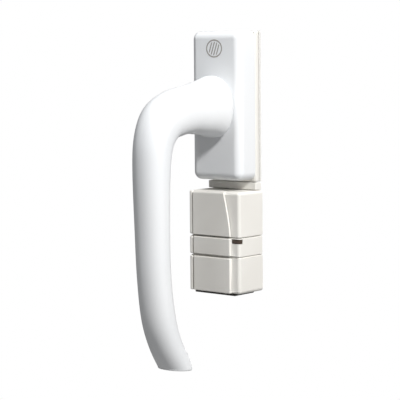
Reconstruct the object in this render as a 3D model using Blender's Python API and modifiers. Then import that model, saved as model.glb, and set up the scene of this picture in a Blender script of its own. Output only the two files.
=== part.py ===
"""Tilt-and-turn window handle on a back plate that carries a handle-position sensor.

Origin: the spindle's axis on the mounting face. +X right, +Y into the sash, +Z up.
The lever hangs down, which is the closed window.
"""

import math

import bmesh
import bpy
from mathutils import Matrix, Vector

MM = 0.001

# Clearances
GAP = 0.3 * MM
RUNNING = 0.1 * MM

# Back plate and gasket
GASKET_DEPTH = 1.0 * MM
GASKET_INSET = 0.2 * MM
PLATE_DEPTH = 3.1 * MM
PLATE_WIDTH = 29.5 * MM
PLATE_LIP_BELOW = 1.0 * MM
PLATE_EDGE = 0.8 * MM
POCKET_DEPTH = 2.4 * MM

# Rosette
ROSETTE_WIDTH = 30.0 * MM
ROSETTE_HEIGHT = 71.0 * MM
ROSETTE_DEPTH = 12.0 * MM
ROSETTE_EDGE = 3.8 * MM
ROSETTE_WALL = 1.3 * MM
BASE_DEPTH = 8.5 * MM
BASE_FRONT_WALL = 3.0 * MM
BASE_SIDE_WALL = 1.6 * MM
BASE_EDGE = 1.6 * MM
BASE_CLEAR_X = 1.0 * MM
BASE_CLEAR_Z = 1.6 * MM

# Holes for the two fixing screws, and the support lugs round them
SCREW_SPACING = 43.0 * MM
SCREW_HOLE_RADIUS = 2.8 * MM
SCREW_SEAT_RADIUS = 4.7 * MM
SCREW_SEAT_DEPTH = 2.9 * MM
LUG_WALL = 2.1 * MM

# Lever
LEVER_REACH = 62.5 * MM
LEVER_LENGTH = 122.0 * MM
NECK_HEIGHT = 29.2 * MM
NECK_WIDTH = 25.5 * MM
GRIP_WIDTH = 17.0 * MM
GRIP_DEPTH = 13.4 * MM
TIP_SLOPE = 4.0
TIP_BACK = 2.4 * MM
SECTION_POINTS = 36
STEPS_BETWEEN_STATIONS = 3

# Shaft train
JOURNAL_RADIUS = 8.0 * MM
BUSH_WALL = 1.4 * MM
SPINDLE_SIDE = 7.0 * MM
SPINDLE_CHAMFER = 0.4 * MM
SPINDLE_IN_NECK = 11.0 * MM
PIN_RADIUS = 1.2 * MM
RING_DEPTH = 0.7 * MM
RING_HEIGHT = 1.8 * MM
RING_BITE = 0.5 * MM
RING_MOUTH = 4.0 * MM
DISC_RADIUS = 8.8 * MM
DISC_DEPTH = 2.6 * MM
NOTCH_RADIUS = 1.6 * MM
NOTCH_DEPTH = 0.5 * MM
SPRING_THICKNESS = 0.5 * MM
SPRING_LENGTH = 26.0 * MM
SPRING_BUMP = 0.65 * MM
SPRING_STAND_OFF = 0.6 * MM
SPRING_RAMP = 3.0 * MM
SPRING_TOP = 0.5 * MM
ROTOR_RADIUS = 8.6 * MM
ROTOR_LAND = 1.2 * MM
MAGNET_WIDTH = 3.0 * MM
MAGNET_HEIGHT = 2.2 * MM
MAGNET_DEPTH = 1.8 * MM

# Module below the plate
BLOCK_WIDTH = 30.7 * MM
BLOCK_DEPTH = 17.65 * MM
BLOCK_EDGE = 1.4 * MM
BLOCK_WALL = 1.5 * MM
SHOULDER_HEIGHT = 3.5 * MM
UPPER_HEIGHT = 21.4 * MM
BAND_HEIGHT = 8.9 * MM
LOWER_HEIGHT = 17.2 * MM
GROOVE = 0.6 * MM
PANEL_LEFT_MARGIN = 3.05 * MM
PANEL_RIGHT_MARGIN = 4.9 * MM
PANEL_RISE = 1.5 * MM
PANEL_SWEEP = 3.9 * MM
PANEL_SWEEP_POWER = 1.4
PANEL_INSET = 0.2 * MM
RAIL_RISE = 1.2 * MM
RAIL_MARGIN = 0.55 * MM
RAIL_GROOVE = 0.7 * MM
RAIL_EDGE = 0.6 * MM
BOTTOM_PLATE_DEPTH = 0.8 * MM
BOTTOM_PLATE_INSET = 1.9 * MM
CHASSIS_WALL = 2.4 * MM
CHASSIS_CLEARANCE = 0.35 * MM
TONGUE_INSET = 4.5 * MM
SHOULDER_EDGE = 0.3 * MM
WINDOW_HEIGHT = 1.9 * MM
WINDOW_DROP = 1.5 * MM
WINDOW_RETURN = 2.2 * MM

# Electronics
BOARD_DEPTH = 1.0 * MM
BOARD_STAND_OFF = 1.9 * MM
BOARD_HEIGHT = 26.5 * MM
POST_RADIUS = 1.8 * MM
CELL_RADIUS = 10.0 * MM
CELL_DEPTH = 3.2 * MM
HOLDER_WALL = 0.8 * MM
CONTACT_THICKNESS = 0.3 * MM
CONTACT_WIDTH = 4.0 * MM
RIBBON_WIDTH = 2.6 * MM
RIBBON_THICKNESS = 0.3 * MM
RIBBON_INSET = 1.9 * MM
SENSOR_BOARD_HEIGHT = 18.0 * MM
SENSOR_BOARD_DEPTH = 0.8 * MM
HOUSING_SCREW_RADIUS = 1.1 * MM
HOUSING_SCREW_HEAD = 2.0 * MM
HOUSING_SCREW_HEAD_DEPTH = 1.0 * MM
HOUSING_SCREW_END = 10.0 * MM
LAMP_SIDE = 1.8 * MM
LAMP_INSET = 1.6 * MM

# Places along Y (negative is towards the room) and Z that several pieces share
PLATE_TOP = ROSETTE_HEIGHT / 2
PLATE_BOTTOM = ROSETTE_HEIGHT / 2 + PLATE_LIP_BELOW
PLATE_BACK = -(GASKET_DEPTH + GAP)
PLATE_FRONT = PLATE_BACK - PLATE_DEPTH
ROSETTE_BACK = PLATE_FRONT - GAP
ROSETTE_FACE = ROSETTE_BACK - ROSETTE_DEPTH
BASE_FACE = ROSETTE_BACK - BASE_DEPTH
LUG_RADIUS = SCREW_HOLE_RADIUS + LUG_WALL
LUG_END = -GAP
SPINDLE_END = -GAP
CAVITY_FRONT = BASE_FACE + BASE_FRONT_WALL
DISC_BACK = ROSETTE_BACK - 0.6 * MM
DISC_FRONT = DISC_BACK - DISC_DEPTH
JOURNAL_END = DISC_FRONT - 0.4 * MM
RING_FRONT = CAVITY_FRONT + 0.4 * MM
NECK_BACK = ROSETTE_FACE - GAP
PIN_Y = BASE_FACE + 0.5 * BASE_FRONT_WALL
BUSH_RADIUS = JOURNAL_RADIUS + RUNNING + BUSH_WALL
SOCKET_SIDE = SPINDLE_SIDE + 2 * GAP
TONGUE_X = PLATE_WIDTH / 2 - TONGUE_INSET
SHOULDER_TOP = -(PLATE_BOTTOM + GAP)
UPPER_TOP = SHOULDER_TOP - SHOULDER_HEIGHT - GAP
UPPER_BOTTOM = UPPER_TOP - UPPER_HEIGHT
BAND_TOP = UPPER_BOTTOM - GROOVE
BAND_BOTTOM = BAND_TOP - BAND_HEIGHT
LOWER_TOP = BAND_BOTTOM - GROOVE
LOWER_BOTTOM = LOWER_TOP - LOWER_HEIGHT
BLOCK_INNER_X = BLOCK_WIDTH / 2 - BLOCK_WALL
CHASSIS_X = BLOCK_INNER_X - CHASSIS_CLEARANCE
PANEL_LEFT = BLOCK_WIDTH / 2 - PANEL_LEFT_MARGIN
PANEL_RIGHT = BLOCK_WIDTH / 2 - PANEL_RIGHT_MARGIN
RAIL_OUTER_X = BLOCK_WIDTH / 2 - RAIL_MARGIN
RIBBON_X = CHASSIS_X - RIBBON_INSET
CHASSIS_BOTTOM = LOWER_BOTTOM + BLOCK_WALL + GAP
BOARD_BACK = -(CHASSIS_WALL + BOARD_STAND_OFF)
BOARD_FRONT = BOARD_BACK - BOARD_DEPTH
BOARD_TOP = UPPER_TOP - BLOCK_WALL - 1.0 * MM
LAMP_FRONT = BOARD_FRONT - GAP - LAMP_SIDE
BOARD_X = CHASSIS_X - 0.2 * MM
HOLDER_BACK = BOARD_FRONT - 1.3 * MM
CELL_Z = CHASSIS_BOTTOM + HOLDER_WALL + GAP + CELL_RADIUS
HOLDER_TOP = CELL_Z + CELL_RADIUS + GAP + HOLDER_WALL
HOLDER_FLOOR = HOLDER_BACK - 1.3 * MM
CELL_BACK = HOLDER_FLOOR - CONTACT_THICKNESS - 2 * GAP
CELL_FRONT = CELL_BACK - CELL_DEPTH
NOTCH_LEFT = PANEL_RIGHT + 0.05 * MM
WINDOW_Z = BAND_TOP - WINDOW_DROP
RIBBON_Y = PLATE_BACK - GAP - RIBBON_THICKNESS / 2
SENSOR_BOARD_INNER_X = ROTOR_RADIUS + 2.6 * GAP
SENSOR_BOARD_OUTER_X = PLATE_WIDTH / 2 - ROTOR_LAND
HOUSING_SCREW_Z = BOARD_TOP - 3.2 * MM
HOUSING_BOSS_RADIUS = HOUSING_SCREW_RADIUS + 1.2 * MM
HOUSING_SCREW_X = RIBBON_X - RIBBON_WIDTH / 2 - 2 * GAP - HOUSING_BOSS_RADIUS


def new_collection(name):
    collection = bpy.data.collections.new(name)
    bpy.context.scene.collection.children.link(collection)
    return collection


for old in list(bpy.data.objects):
    bpy.data.objects.remove(old, do_unlink=True)
PARTS = new_collection("window_handle_with_sensor")
CUTTERS = new_collection("cutters")


def material(name, color, roughness, metallic=0.0):
    made = bpy.data.materials.new(name)
    made.use_nodes = True
    shader = made.node_tree.nodes["Principled BSDF"]
    shader.inputs["Base Color"].default_value = (*color, 1.0)
    shader.inputs["Roughness"].default_value = roughness
    shader.inputs["Metallic"].default_value = metallic
    return made


WHITE_COAT = material("white_powder_coat", (0.86, 0.87, 0.88), 0.32)
CREAM = material("cream_plastic", (0.80, 0.78, 0.72), 0.42)
DARK = material("dark_plastic", (0.05, 0.045, 0.04), 0.5)
WINDOW = material("dark_window", (0.035, 0.02, 0.015), 0.15)
FOAM = material("foam", (0.78, 0.77, 0.73), 0.9)
ZINC = material("die_cast_zinc", (0.55, 0.56, 0.58), 0.45, 1.0)
STEEL = material("plated_steel", (0.62, 0.62, 0.63), 0.28, 1.0)
SPRING_STEEL = material("spring_steel", (0.48, 0.49, 0.51), 0.3, 1.0)
BEARING = material("bearing_plastic", (0.75, 0.74, 0.70), 0.5)
BOARD = material("circuit_board", (0.03, 0.16, 0.07), 0.45)
CHIP = material("chip", (0.03, 0.03, 0.03), 0.5)
BRASS = material("plated_brass", (0.72, 0.60, 0.34), 0.3, 1.0)
MAGNET = material("magnet", (0.40, 0.40, 0.42), 0.35, 1.0)
LAMP = material("lamp", (0.75, 0.75, 0.70), 0.2)


def add_object(name, mesh, finish=None, collection=PARTS):
    made = bpy.data.objects.new(name, mesh)
    collection.objects.link(made)
    if finish:
        mesh.materials.append(finish)
    if collection is CUTTERS:
        made.hide_render = True
        made.display_type = "WIRE"
    return made


def from_bmesh(name, shape, finish=None, collection=PARTS, smooth=False):
    bmesh.ops.recalc_face_normals(shape, faces=shape.faces)
    mesh = bpy.data.meshes.new(name)
    shape.to_mesh(mesh)
    shape.free()
    if smooth:
        mesh.shade_smooth()
        mesh.set_sharp_from_angle(angle=math.radians(35))
    return add_object(name, mesh, finish, collection)


def add_box(shape, low, high):
    """A box between two corners."""
    low = Vector(low)
    high = Vector(high)
    place = Matrix.Translation((low + high) / 2)
    return bmesh.ops.create_cube(shape, size=1.0, matrix=place @ Matrix.Diagonal((*(high - low), 1.0)))


def add_rod(shape, radius, back, front, x=0.0, z=0.0, points=40):
    """A cylinder along Y."""
    place = Matrix.Translation((x, (back + front) / 2, z)) @ Matrix.Rotation(math.pi / 2, 4, "X")
    bmesh.ops.create_cone(
        shape, cap_ends=True, segments=points, radius1=radius, radius2=radius,
        depth=abs(front - back), matrix=place,
    )


def boxes(name, corners, finish=None, collection=PARTS):
    shape = bmesh.new()
    for low, high in corners:
        add_box(shape, low, high)
    return from_bmesh(name, shape, finish, collection)


def rods(name, sizes, finish=None, collection=PARTS):
    shape = bmesh.new()
    for radius, back, front, x, z in sizes:
        add_rod(shape, radius, back, front, x, z)
    return from_bmesh(name, shape, finish, collection, smooth=True)


def boolean(target, tool, operation="DIFFERENCE", solver="EXACT"):
    modifier = target.modifiers.new(f"{operation.lower()}_{tool.name}", "BOOLEAN")
    modifier.operation = operation
    modifier.object = tool
    modifier.solver = solver


def round_edges(target, width, segments=3, angle=40):
    modifier = target.modifiers.new("rounded_edges", "BEVEL")
    modifier.width = width
    modifier.segments = segments
    modifier.limit_method = "ANGLE"
    modifier.angle_limit = math.radians(angle)


def open_shell(name, low, high, wall, edge, open_sides, finish, segments=4):
    """A box with rounded edges and a wall, without the faces on its open sides."""
    shape = bmesh.new()
    add_box(shape, low, high)
    shape.normal_update()
    gone = [face for face in shape.faces if any(face.normal.dot(Vector(side)) > 0.9 for side in open_sides)]
    bmesh.ops.delete(shape, geom=gone, context="FACES")
    mesh = bpy.data.meshes.new(name)
    shape.to_mesh(mesh)
    shape.free()
    made = add_object(name, mesh, finish)
    round_edges(made, edge, segments)
    solidify = made.modifiers.new("wall", "SOLIDIFY")
    solidify.thickness = wall
    solidify.offset = -1.0
    solidify.use_even_offset = True
    return made


def flat_shape(name, outline, thickness, turn, place, finish=None, collection=PARTS):
    """A flat outline given a thickness, made a mesh so that it can be cut or joined."""
    curve = bpy.data.curves.new(name + "_outline", "CURVE")
    curve.dimensions = "2D"
    curve.fill_mode = "BOTH"
    curve.extrude = thickness / 2
    spline = curve.splines.new("POLY")
    spline.points.add(len(outline) - 1)
    for point, (across, up) in zip(spline.points, outline):
        point.co = (across, up, 0.0, 1.0)
    spline.use_cyclic_u = True
    guide = bpy.data.objects.new(name + "_outline", curve)
    bpy.context.scene.collection.objects.link(guide)
    guide.matrix_world = Matrix.Translation(place) @ turn
    graph = bpy.context.evaluated_depsgraph_get()
    mesh = bpy.data.meshes.new_from_object(guide.evaluated_get(graph))
    mesh.name = name
    shape = bmesh.new()
    shape.from_mesh(mesh)
    bmesh.ops.remove_doubles(shape, verts=shape.verts, dist=0.001 * MM)
    bmesh.ops.recalc_face_normals(shape, faces=shape.faces)
    shape.to_mesh(mesh)
    shape.free()
    made = add_object(name, mesh, finish, collection)
    made.matrix_world = guide.matrix_world
    bpy.data.objects.remove(guide, do_unlink=True)
    return made


# Turns that lay a flat outline's two directions along X and Z, X and Y, or Y and Z
ACROSS_XZ = Matrix.Rotation(math.pi / 2, 4, "X")
ACROSS_XY = Matrix.Identity(4)
ACROSS_YZ = Matrix(((0, 0, 1, 0), (1, 0, 0, 0), (0, 1, 0, 0), (0, 0, 0, 1)))


def strip(path, thickness):
    """The outline of a thin strip that follows a path, half its thickness each side."""
    points = [Vector(point) for point in path]
    left = []
    right = []
    for index, point in enumerate(points):
        before = points[max(index - 1, 0)]
        after = points[min(index + 1, len(points) - 1)]
        into = (point - before).normalized() if index else (after - point).normalized()
        out = (after - point).normalized() if index < len(points) - 1 else into
        side = (into + out).normalized()
        side = Vector((-side.y, side.x))
        reach = thickness / 2 / max(side.dot(Vector((-into.y, into.x))), 0.5)
        left.append(point + side * reach)
        right.append(point - side * reach)
    return [tuple(point) for point in left + right[::-1]]


def corner_arc(centre, radius, start, end, steps=6):
    """Points on an arc, angles in degrees."""
    turn = [math.radians(start + (end - start) * step / steps) for step in range(steps + 1)]
    return [(centre[0] + radius * math.cos(a), centre[1] + radius * math.sin(a)) for a in turn]


def screw_places():
    return [(0.0, side * SCREW_SPACING / 2) for side in (1, -1)]


# Back plate, gasket and rosette


def make_gasket():
    gasket = boxes("sealing_gasket", [(
        (-PLATE_WIDTH / 2 + GASKET_INSET, -GASKET_DEPTH, -PLATE_BOTTOM + GASKET_INSET),
        (PLATE_WIDTH / 2 - GASKET_INSET, 0.0, PLATE_TOP - GASKET_INSET),
    )], FOAM)
    holes = [(LUG_RADIUS + GAP, MM, -2 * MM, x, z) for x, z in screw_places()]
    holes.append((ROTOR_RADIUS - ROTOR_LAND, MM, -2 * MM, 0.0, 0.0))
    boolean(gasket, rods("gasket_holes", holes, collection=CUTTERS))


def make_plate():
    plate = boxes("mounting_plate", [(
        (-PLATE_WIDTH / 2, PLATE_FRONT, -PLATE_BOTTOM),
        (PLATE_WIDTH / 2, PLATE_BACK, PLATE_TOP),
    )], CREAM)
    round_edges(plate, PLATE_EDGE, 2)
    holes = [(LUG_RADIUS + GAP, MM, PLATE_FRONT - MM, x, z) for x, z in screw_places()]
    holes.append((ROTOR_RADIUS + GAP, MM, PLATE_FRONT - MM, 0.0, 0.0))
    boolean(plate, rods("plate_holes", holes, collection=CUTTERS))
    # One pocket from behind holds the sensor board, and a channel leads its ribbon down to the module.
    half_board = SENSOR_BOARD_HEIGHT / 2 + GAP
    half_ribbon = RIBBON_WIDTH / 2 + GAP
    boolean(plate, boxes("plate_pocket", [(
        (SENSOR_BOARD_INNER_X - GAP, PLATE_BACK - POCKET_DEPTH, -half_board),
        (SENSOR_BOARD_OUTER_X + GAP, MM, half_board),
    )], collection=CUTTERS))
    boolean(plate, boxes("plate_channel", [(
        (RIBBON_X - half_ribbon, RIBBON_Y - RIBBON_THICKNESS / 2 - GAP, -PLATE_BOTTOM - MM),
        (RIBBON_X + half_ribbon, MM, -half_board + MM),
    )], collection=CUTTERS))


def make_rosette_base():
    half_x = ROSETTE_WIDTH / 2 - ROSETTE_WALL - BASE_CLEAR_X
    half_z = ROSETTE_HEIGHT / 2 - ROSETTE_WALL - BASE_CLEAR_Z
    base = boxes("rosette_base", [((-half_x, BASE_FACE, -half_z), (half_x, ROSETTE_BACK, half_z))], ZINC)
    round_edges(base, BASE_EDGE, 2)
    lugs = [(LUG_RADIUS, LUG_END, BASE_FACE + MM, x, z) for x, z in screw_places()]
    boolean(base, rods("support_lugs", lugs, collection=CUTTERS), "UNION")
    holes = [(SCREW_HOLE_RADIUS, LUG_END + MM, BASE_FACE - MM, x, z) for x, z in screw_places()]
    boolean(base, rods("screw_holes", holes, collection=CUTTERS))
    seats = [
        (SCREW_SEAT_RADIUS, BASE_FACE + SCREW_SEAT_DEPTH, BASE_FACE - MM, x, z) for x, z in screw_places()
    ]
    boolean(base, rods("screw_head_seats", seats, collection=CUTTERS))
    cavity_x = half_x - BASE_SIDE_WALL
    cavity_z = SCREW_SPACING / 2 - LUG_RADIUS - BASE_CLEAR_X
    boolean(base, boxes("base_cavity", [(
        (-cavity_x, CAVITY_FRONT, -cavity_z), (cavity_x, ROSETTE_BACK + MM, cavity_z),
    )], collection=CUTTERS))
    bore = [(BUSH_RADIUS + GAP, CAVITY_FRONT + MM, BASE_FACE - MM, 0.0, 0.0)]
    boolean(base, rods("bush_seat", bore, collection=CUTTERS))


def make_rosette_cover():
    half_x = ROSETTE_WIDTH / 2
    half_z = ROSETTE_HEIGHT / 2
    cover = open_shell(
        "rosette_cover", (-half_x, ROSETTE_FACE, -half_z), (half_x, ROSETTE_BACK, half_z),
        ROSETTE_WALL, ROSETTE_EDGE, [(0, 1, 0)], WHITE_COAT, segments=5,
    )
    hole = [(JOURNAL_RADIUS + 2 * GAP, BASE_FACE, ROSETTE_FACE - MM, 0.0, 0.0)]
    boolean(cover, rods("neck_hole", hole, collection=CUTTERS))


def make_neck_bush():
    back = CAVITY_FRONT - GAP
    front = ROSETTE_FACE + ROSETTE_WALL + GAP
    bush = rods("neck_bush", [(BUSH_RADIUS, back, front, 0.0, 0.0)], BEARING)
    bore = [(JOURNAL_RADIUS + RUNNING, back + MM, front - MM, 0.0, 0.0)]
    boolean(bush, rods("bush_bore", bore, collection=CUTTERS))


def make_detent_springs():
    flat = DISC_RADIUS + SPRING_STAND_OFF + SPRING_THICKNESS / 2
    half = SPRING_LENGTH / 2
    bump = [(flat, -half), (flat, -SPRING_RAMP), (flat - SPRING_BUMP, -SPRING_TOP)]
    path = bump + [(across, -up) for across, up in bump[::-1]]
    middle = (DISC_BACK + DISC_FRONT) / 2
    for name, side in (("detent_spring_right", 1), ("detent_spring_left", -1)):
        outline = strip([(side * across, up) for across, up in path], SPRING_THICKNESS)
        flat_shape(name, outline, DISC_DEPTH - 2 * RUNNING, ACROSS_XZ, (0.0, middle, 0.0), SPRING_STEEL)


def make_screw(name, x, z, shaft, head, drive):
    """One screw along Y: shaft and head are (radius, back, front), drive is a cross recess
    (arm, half slot, its two ends along Y)."""
    screw = rods(name, [(*shaft, x, z)], STEEL)
    boolean(screw, rods(name + "_head", [(*head, x, z)], collection=CUTTERS), "UNION")
    arm, slot, low, high = drive
    for recess, across, up in (("_slot_across", arm, slot), ("_slot_up", slot, arm)):
        boolean(screw, boxes(name + recess, [
            ((x - across, low, z - up), (x + across, high, z + up)),
        ], collection=CUTTERS))


# Lever and what turns with it

# Stations along the lever: share of the reach, share of the length, and how much of the neck's
# width and height is left there (1 is the neck at its thickest, 0 is the grip).
STATIONS = (
    (0.000, 0.002, 0.52, 0.54),
    (0.024, 0.002, 0.85, 0.84),
    (0.064, 0.002, 1.00, 1.00),
    (0.165, 0.003, 0.87, 0.85),
    (0.320, 0.007, 0.70, 0.69),
    (0.472, 0.010, 0.55, 0.56),
    (0.680, 0.024, 0.45, 0.51),
    (0.849, 0.055, 0.38, 0.39),
    (0.965, 0.129, 0.21, 0.18),
    (1.000, 0.245, 0.11, 0.08),
    (0.996, 0.449, 0.01, 0.00),
    (0.976, 0.636, -0.04, -0.03),
    (0.917, 0.791, -0.01, -0.03),
    (0.816, 0.897, 0.00, -0.07),
    (0.662, 0.990, 0.05, -0.08),
    (0.594, 1.032, 0.08, -0.09),
)


def smooth_through(stations, steps):
    """Points on a Catmull-Rom curve through the stations."""
    rows = [Vector(row) for row in stations]
    rows = [2 * rows[0] - rows[1]] + rows + [2 * rows[-1] - rows[-2]]
    points = []
    for first, second, third, fourth in zip(rows, rows[1:], rows[2:], rows[3:]):
        for step in range(steps):
            t = step / steps
            points.append(0.5 * (
                2 * second + (third - first) * t
                + (2 * first - 5 * second + 4 * third - fourth) * t * t
                + (3 * second - first - 3 * third + fourth) * t ** 3
            ))
    return points + [rows[-2]]


def lever_section(half_width, half_depth, count):
    """A rounded section, rounder outside and flatter on the side towards the window."""
    points = []
    for index in range(count):
        angle = 2 * math.pi * index / count
        across, out = math.cos(angle), math.sin(angle)
        power = 2 / 2.15 if out >= 0 else 2 / 2.6
        points.append((
            half_width * math.copysign(abs(across) ** power, across),
            half_depth * math.copysign(abs(out) ** power, out),
        ))
    return points


def lever_rings():
    out_span = LEVER_REACH + NECK_BACK
    places = []
    for out, down, wide, deep in smooth_through(STATIONS, STEPS_BETWEEN_STATIONS):
        half_width = GRIP_WIDTH / 2 + (NECK_WIDTH - GRIP_WIDTH) / 2 * wide
        half_depth = GRIP_DEPTH / 2 + (NECK_HEIGHT - GRIP_DEPTH) / 2 * deep
        places.append((Vector((0, NECK_BACK - out_span * out, -LEVER_LENGTH * down)), half_width, half_depth))
    rings = []
    for index, (centre, half_width, half_depth) in enumerate(places):
        along = places[min(index + 1, len(places) - 1)][0] - places[max(index - 1, 0)][0]
        along.normalize()
        if index == 0:
            along = Vector((0, -1, 0))
        outward = Vector((0, along.z, -along.y))
        section = lever_section(half_width, half_depth, SECTION_POINTS)
        rings.append([centre + Vector((across, 0, 0)) + outward * out for across, out in section])
    return rings


def cut_plane(shape, point, normal):
    """Cuts off what lies beyond a plane and closes the cut."""
    geometry = shape.verts[:] + shape.edges[:] + shape.faces[:]
    bmesh.ops.bisect_plane(
        shape, geom=geometry, dist=0.001 * MM, plane_co=point, plane_no=normal, clear_outer=True
    )
    open_edges = [edge for edge in shape.edges if edge.is_boundary]
    bmesh.ops.holes_fill(shape, edges=open_edges, sides=0)


def make_lever():
    shape = bmesh.new()
    rings = [[shape.verts.new(point) for point in ring] for ring in lever_rings()]
    for near, far in zip(rings, rings[1:]):
        for index in range(SECTION_POINTS):
            following = (index + 1) % SECTION_POINTS
            shape.faces.new((near[index], near[following], far[following], far[index]))
    shape.faces.new(rings[0])
    shape.faces.new(rings[-1])
    bmesh.ops.recalc_face_normals(shape, faces=shape.faces)
    # The tip has a short upright face at its back, and is cut almost level below, lower at the back.
    tip_y = NECK_BACK - (LEVER_REACH + NECK_BACK) * STATIONS[-2][0]
    for vert in shape.verts:
        if vert.co.z < -LEVER_LENGTH + GRIP_DEPTH:
            vert.co.y = min(vert.co.y, tip_y + TIP_BACK)
    slope = math.radians(TIP_SLOPE)
    cut_plane(shape, (0, tip_y, -LEVER_LENGTH), (0, -math.sin(slope), -math.cos(slope)))
    lever = from_bmesh("handle_lever", shape, WHITE_COAT, smooth=True)
    journal = [(JOURNAL_RADIUS, JOURNAL_END, NECK_BACK - 3 * MM, 0.0, 0.0)]
    boolean(lever, rods("journal", journal, collection=CUTTERS), "UNION")
    half = SOCKET_SIDE / 2
    boolean(lever, boxes("spindle_socket", [(
        (-half, NECK_BACK - SPINDLE_IN_NECK - GAP, -half), (half, JOURNAL_END + MM, half),
    )], collection=CUTTERS))
    pin_hole = bmesh.new()
    bmesh.ops.create_cone(
        pin_hole, cap_ends=True, segments=20, radius1=PIN_RADIUS + GAP, radius2=PIN_RADIUS + GAP,
        depth=2 * JOURNAL_RADIUS + 2 * MM, matrix=Matrix.Translation((0, PIN_Y, 0)),
    )
    boolean(lever, from_bmesh("pin_hole", pin_hole, collection=CUTTERS))
    groove = rods("ring_groove", [(
        JOURNAL_RADIUS + 2 * MM, RING_FRONT + RING_DEPTH + 0.1 * MM, RING_FRONT - 0.1 * MM, 0.0, 0.0,
    )], collection=CUTTERS)
    core = rods("ring_groove_core", [(
        JOURNAL_RADIUS - RING_BITE - GAP, RING_FRONT + 2 * MM, RING_FRONT - 2 * MM, 0.0, 0.0,
    )], collection=CUTTERS)
    boolean(groove, core)
    boolean(lever, groove)


def make_spindle():
    half = SPINDLE_SIDE / 2
    spindle = boxes("spindle", [(
        (-half, NECK_BACK - SPINDLE_IN_NECK, -half), (half, SPINDLE_END, half),
    )], STEEL)
    round_edges(spindle, SPINDLE_CHAMFER, 1)
    boolean(spindle, bpy.data.objects["pin_hole"])
    pin = bmesh.new()
    bmesh.ops.create_cone(
        pin, cap_ends=True, segments=20, radius1=PIN_RADIUS, radius2=PIN_RADIUS,
        depth=2 * JOURNAL_RADIUS - 1.2 * MM, matrix=Matrix.Translation((0, PIN_Y, 0)),
    )
    from_bmesh("spindle_pin", pin, STEEL, smooth=True)


def square_hole(name, back, front):
    half = SOCKET_SIDE / 2
    return boxes(name, [((-half, front - MM, -half), (half, back + MM, half))], collection=CUTTERS)


def make_detent_disc():
    disc = rods("detent_disc", [(DISC_RADIUS, DISC_BACK, DISC_FRONT, 0.0, 0.0)], ZINC)
    boolean(disc, square_hole("disc_square", DISC_BACK, DISC_FRONT))
    reach = DISC_RADIUS - NOTCH_DEPTH + NOTCH_RADIUS
    notches = [
        (NOTCH_RADIUS, DISC_BACK + MM, DISC_FRONT - MM, reach * math.cos(turn), reach * math.sin(turn))
        for turn in (0, math.pi / 2, math.pi, 3 * math.pi / 2)
    ]
    boolean(disc, rods("detent_notches", notches, collection=CUTTERS))


def make_retaining_ring():
    outer = JOURNAL_RADIUS + RING_HEIGHT - RING_BITE
    inner = JOURNAL_RADIUS - RING_BITE
    ring = rods("retaining_ring", [(outer, RING_FRONT + RING_DEPTH, RING_FRONT, 0.0, 0.0)], SPRING_STEEL)
    hole = [(inner, RING_FRONT + RING_DEPTH + MM, RING_FRONT - MM, 0.0, 0.0)]
    boolean(ring, rods("ring_hole", hole, collection=CUTTERS))
    boolean(ring, boxes("ring_mouth", [(
        (-RING_MOUTH / 2, RING_FRONT - MM, 0.0), (RING_MOUTH / 2, RING_FRONT + RING_DEPTH + MM, outer + MM),
    )], collection=CUTTERS))


def make_sensor_rotor():
    back = PLATE_BACK - GAP
    front = PLATE_FRONT + GAP
    rotor = rods("sensor_rotor", [(ROTOR_RADIUS, back, front, 0.0, 0.0)], BEARING)
    boolean(rotor, square_hole("rotor_square", back, front))
    low = SOCKET_SIDE / 2 + ROTOR_LAND
    half = MAGNET_WIDTH / 2
    floor = front + MAGNET_DEPTH
    boolean(rotor, boxes("magnet_pocket", [(
        (-half - GAP, front - MM, low - GAP), (half + GAP, floor, low + MAGNET_HEIGHT + GAP),
    )], collection=CUTTERS))
    boxes("rotor_magnet", [((-half, front, low), (half, floor - GAP, low + MAGNET_HEIGHT))], MAGNET)


# Module: chassis and the three segments


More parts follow.
